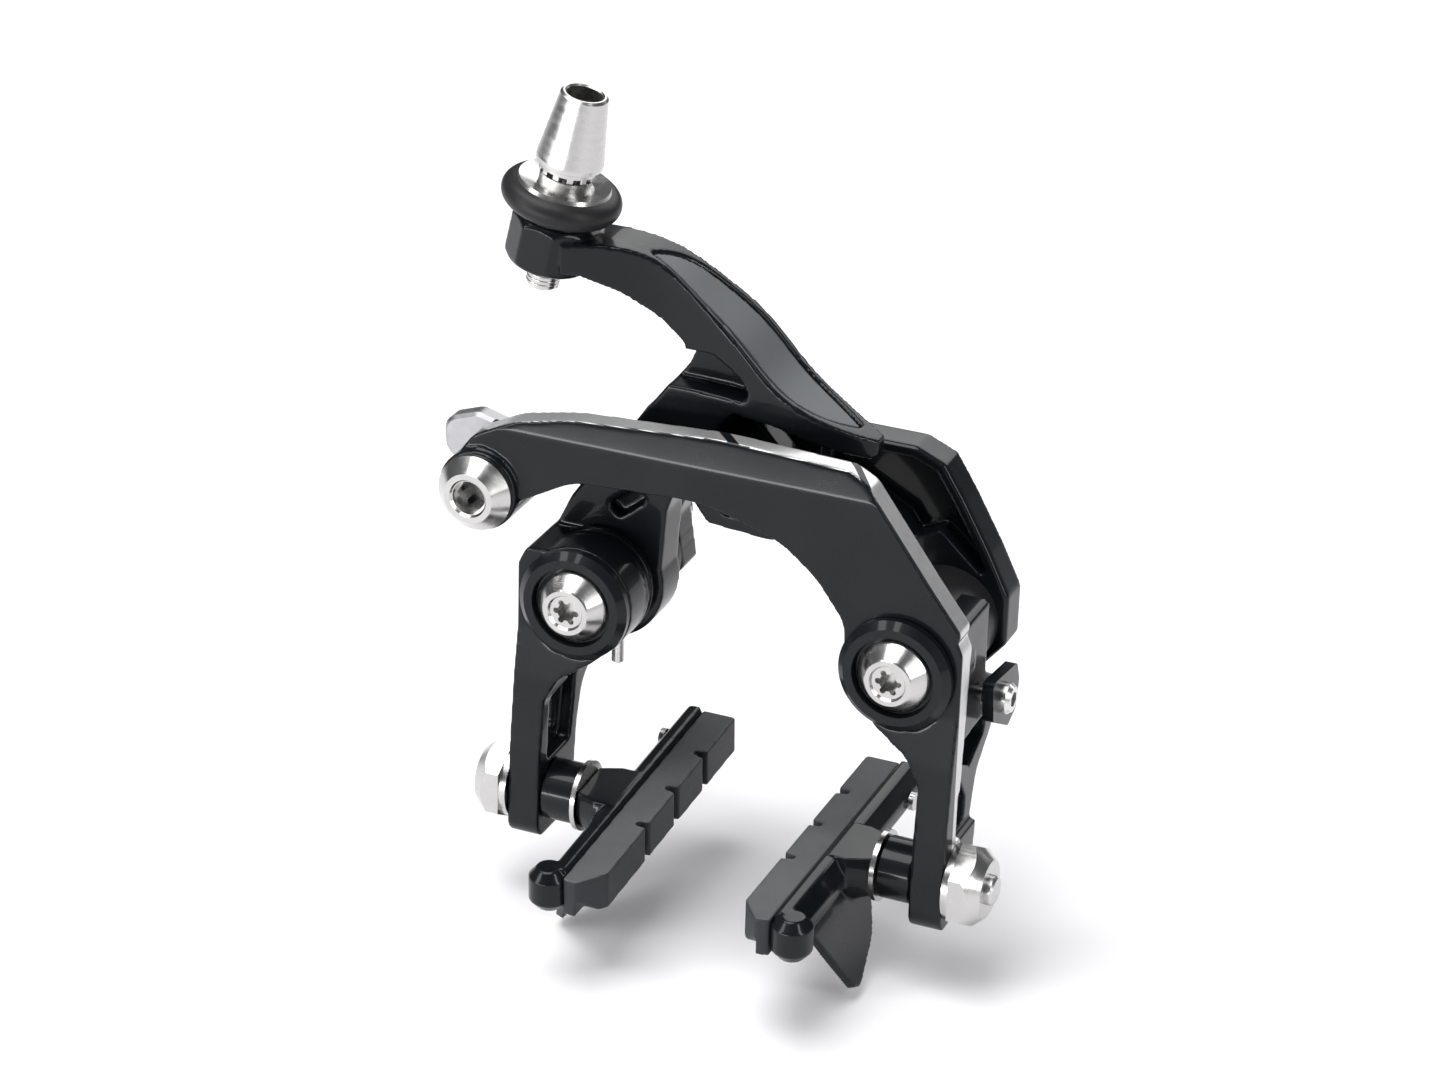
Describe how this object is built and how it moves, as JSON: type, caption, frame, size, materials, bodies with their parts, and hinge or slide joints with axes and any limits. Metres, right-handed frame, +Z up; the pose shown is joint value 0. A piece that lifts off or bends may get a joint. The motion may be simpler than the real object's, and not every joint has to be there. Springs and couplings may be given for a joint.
{
  "type": "direct-mount rim brake caliper",
  "caption": "Direct-mount dual-pivot bicycle rim brake with two levers on fork bolts, a cable adjuster, and slotted pads each side of the rim.",
  "frame": {"origin": "midway between the two mounting bolts, on the rear face that meets the fork", "axes": "+Y along the mounting bolts into the fork, +Z up towards the cable adjuster, +X to the right seen from the front"},
  "size_m": [0.1036, 0.0692, 0.1393],
  "materials": {
    "black_anodised": "black anodised, satin gloss",
    "inlay_grey": "dark grey anodised, satin",
    "polished_steel": "polished",
    "machined_steel": "turned",
    "silver_alloy": "turned, polished",
    "spring_steel": "drawn wire",
    "bronze": "sintered",
    "pad_rubber": "moulded compound",
    "grip_rubber": "smooth",
    "black_nylon": "moulded"
  },
  "bodies": {
    "mount": {"rear_arch": "black_anodised", "mounting_bolt_left": "polished_steel", "mounting_bolt_right": "polished_steel", "dust_ring_left": "black_nylon", "dust_ring_right": "black_nylon", "pivot_sleeve_left": "machined_steel", "pivot_sleeve_right": "machined_steel", "rear_spacer_left": "black_anodised", "rear_spacer_right": "black_anodised", "spring_cover_left": "black_nylon", "spring_cover_right": "black_nylon", "return_spring_left": "spring_steel", "return_spring_right": "spring_steel"},
    "front_arm": {"anchor_arm": "black_anodised", "arm_bush_right": "bronze", "cable_anchor_bolt": "polished_steel", "cable_clamp_plate": "polished_steel", "cable_anchor_nut": "polished_steel", "spring_bracket_right": "black_anodised", "bracket_screw_right": "polished_steel"},
    "stop_arm": {"stop_arm": "black_anodised", "arm_inlay_panel": "inlay_grey", "arm_bush_left": "bronze", "sync_roller_pin": "polished_steel", "tension_screw_left": "polished_steel"},
    "roller": {"sync_roller": "black_nylon"},
    "adjuster_nut": {"adjuster_nut": "silver_alloy", "adjuster_grip_ring": "grip_rubber"},
    "adjuster_barrel": {"adjuster_barrel": "silver_alloy"},
    "pad_left": {"pad_insert_left": "pad_rubber", "pad_holder_left": "black_anodised", "pad_bolt_left": "machined_steel", "pad_nut_left": "silver_alloy", "pad_spacer_left": "black_anodised", "pad_washer_left": "silver_alloy", "pad_retainer_left": "polished_steel"},
    "pad_right": {"pad_insert_right": "pad_rubber", "pad_holder_right": "black_anodised", "pad_bolt_right": "machined_steel", "pad_nut_right": "silver_alloy", "pad_spacer_right": "black_anodised", "pad_washer_right": "silver_alloy", "pad_retainer_right": "polished_steel"}
  },
  "joints": [
    {"name": "front_arm_pivot", "type": "hinge", "parent": "mount", "child": "front_arm", "pos_m": [0.028, 0, 0], "axis": [0, 1, 0], "range_deg": [0, 6], "stiffness_Nm_per_rad": 0.6, "springref_deg": -20.05},
    {"name": "stop_arm_pivot", "type": "hinge", "parent": "mount", "child": "stop_arm", "pos_m": [-0.028, 0, 0], "axis": [0, 1, 0], "range_deg": [-6, 0], "stiffness_Nm_per_rad": 0.6, "springref_deg": 20.05},
    {"name": "sync_roller_spin", "type": "hinge", "parent": "stop_arm", "child": "roller", "pos_m": [0, -0.018, 0.02], "axis": [0, 1, 0], "continuous": true},
    {"name": "adjuster_nut_turn", "type": "hinge", "parent": "stop_arm", "child": "adjuster_nut", "pos_m": [-0.0365, -0.02, 0.06572], "axis": [0.2079, 0, 0.9781], "range_deg": [0, 1081]},
    {"name": "adjuster_barrel_rise", "type": "slide", "parent": "stop_arm", "child": "adjuster_barrel", "axis": [0.2079, 0, 0.9781], "range_m": [0, 0.003]},
    {"name": "pad_height_left", "type": "slide", "parent": "stop_arm", "child": "pad_left", "axis": [0, 0, 1], "range_m": [-0.0025, 0.0025]},
    {"name": "pad_height_right", "type": "slide", "parent": "front_arm", "child": "pad_right", "axis": [0, 0, 1], "range_m": [-0.0025, 0.0025]}
  ],
  "couplings": [
    {"joint": "stop_arm_pivot", "follows": "front_arm_pivot", "ratio": -1},
    {"joint": "adjuster_nut_turn", "follows": "adjuster_barrel_rise", "rad_per_m": 6283.2}
  ]
}
